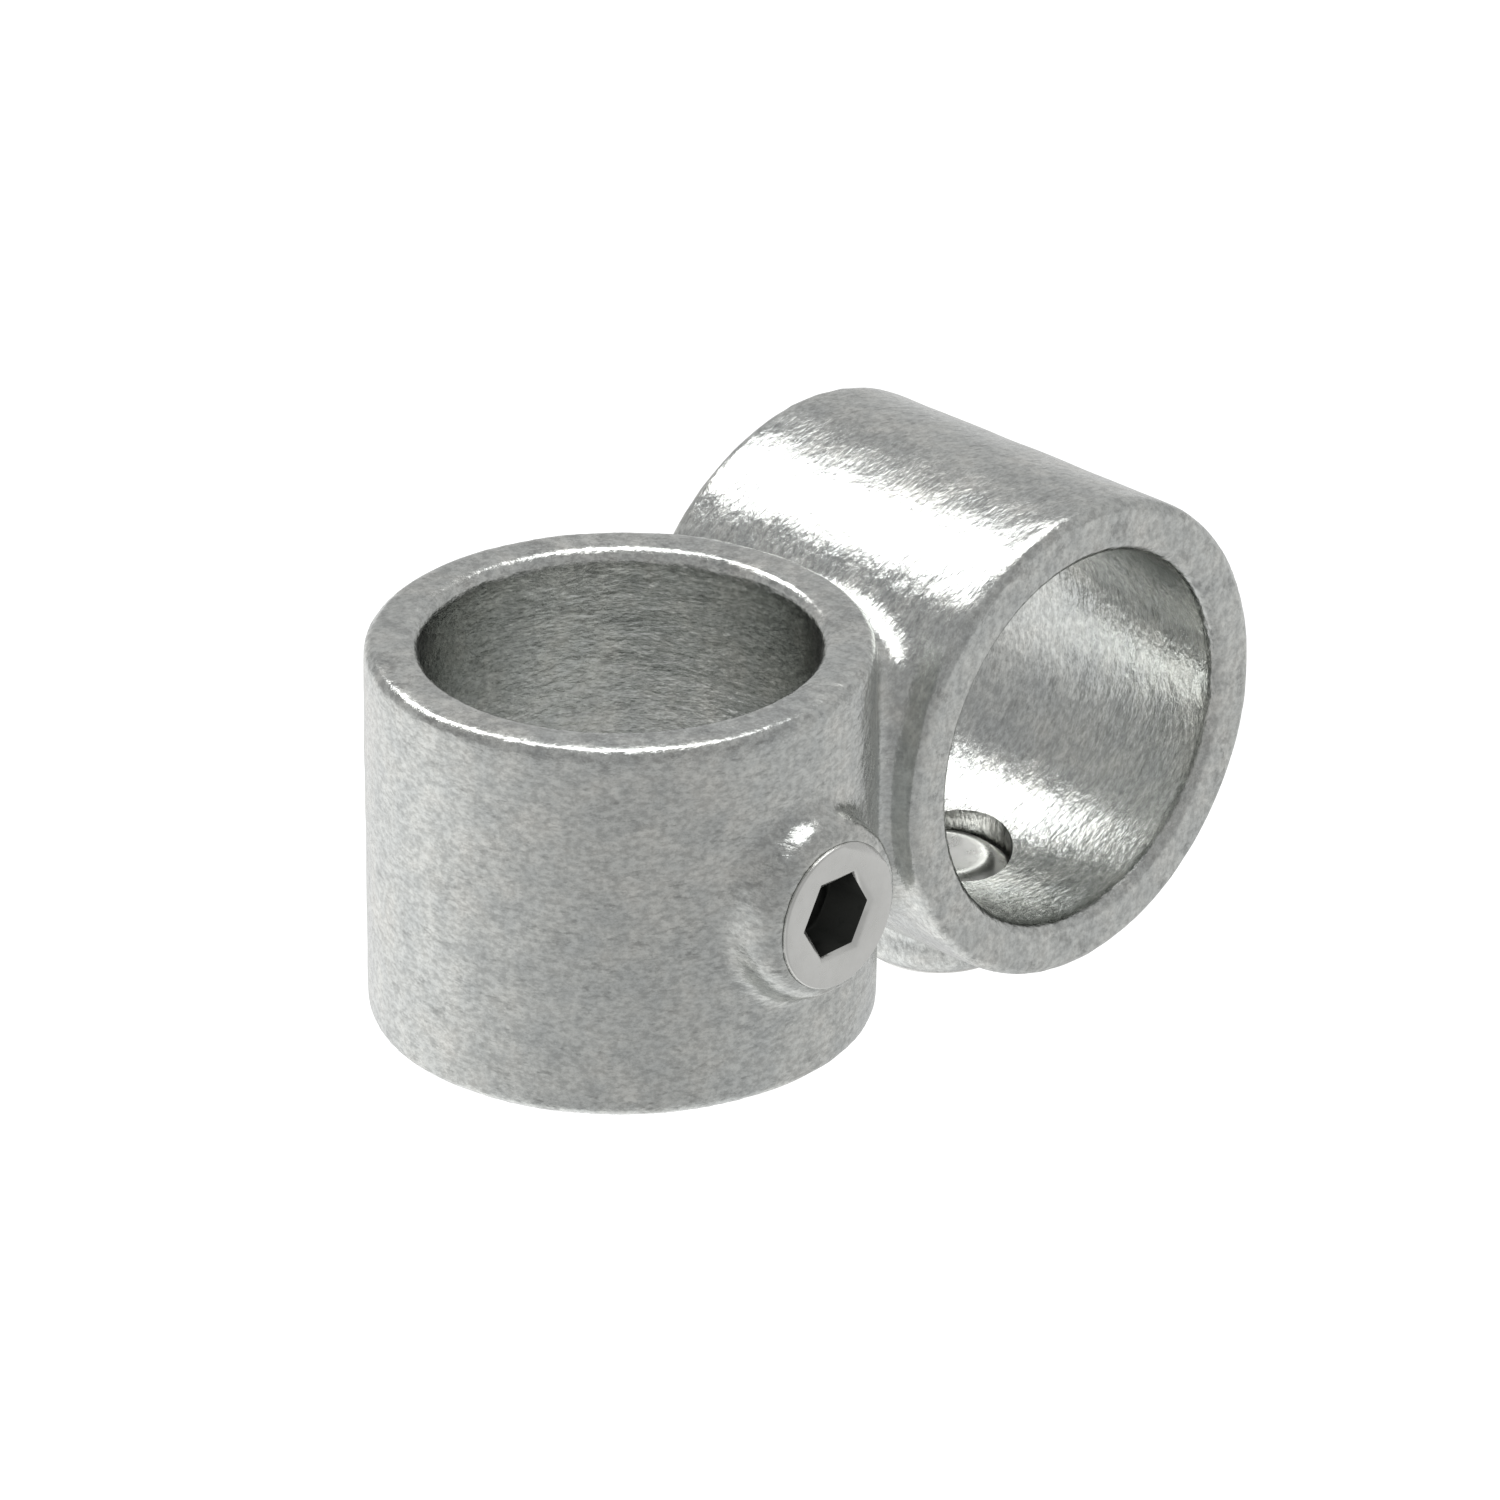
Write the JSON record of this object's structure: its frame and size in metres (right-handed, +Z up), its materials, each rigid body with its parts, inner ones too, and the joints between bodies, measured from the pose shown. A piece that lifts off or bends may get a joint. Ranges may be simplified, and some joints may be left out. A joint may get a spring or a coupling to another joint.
{
  "type": "crossover tube clamp",
  "caption": "Cast clamp that crosses round tubes at right angles, one just behind the other, each gripped in its own collar by a hexagon-socket set screw.",
  "frame": {"origin": "middle of the upright collar's bore, on its centre line", "axes": "+Z up along the upright collar's bore; +X along the crossbar collar's bore, and the way the upright collar's set screw faces; +Y from the upright collar back to the crossbar collar"},
  "size_m": [0.0689, 0.1244, 0.0688],
  "materials": {
    "galvanised_casting": "hot-dip galvanised, finely mottled, satin with sharp highlights",
    "set_screw_steel": "pale satin steel, smoother than the casting"
  },
  "bodies": {
    "casting": {"cast_body": "galvanised_casting"},
    "upright_set_screw": {"upright_screw": "set_screw_steel"},
    "crossbar_set_screw": {"crossbar_screw": "set_screw_steel"}
  },
  "joints": [
    {"name": "upright_screw_travel", "type": "slide", "parent": "casting", "child": "upright_set_screw", "axis": [-1, 0, 0], "range_m": [-0.008, 0.00105]},
    {"name": "crossbar_screw_travel", "type": "slide", "parent": "casting", "child": "crossbar_set_screw", "axis": [0, 0, 1], "range_m": [-0.008, 0.00105]}
  ]
}
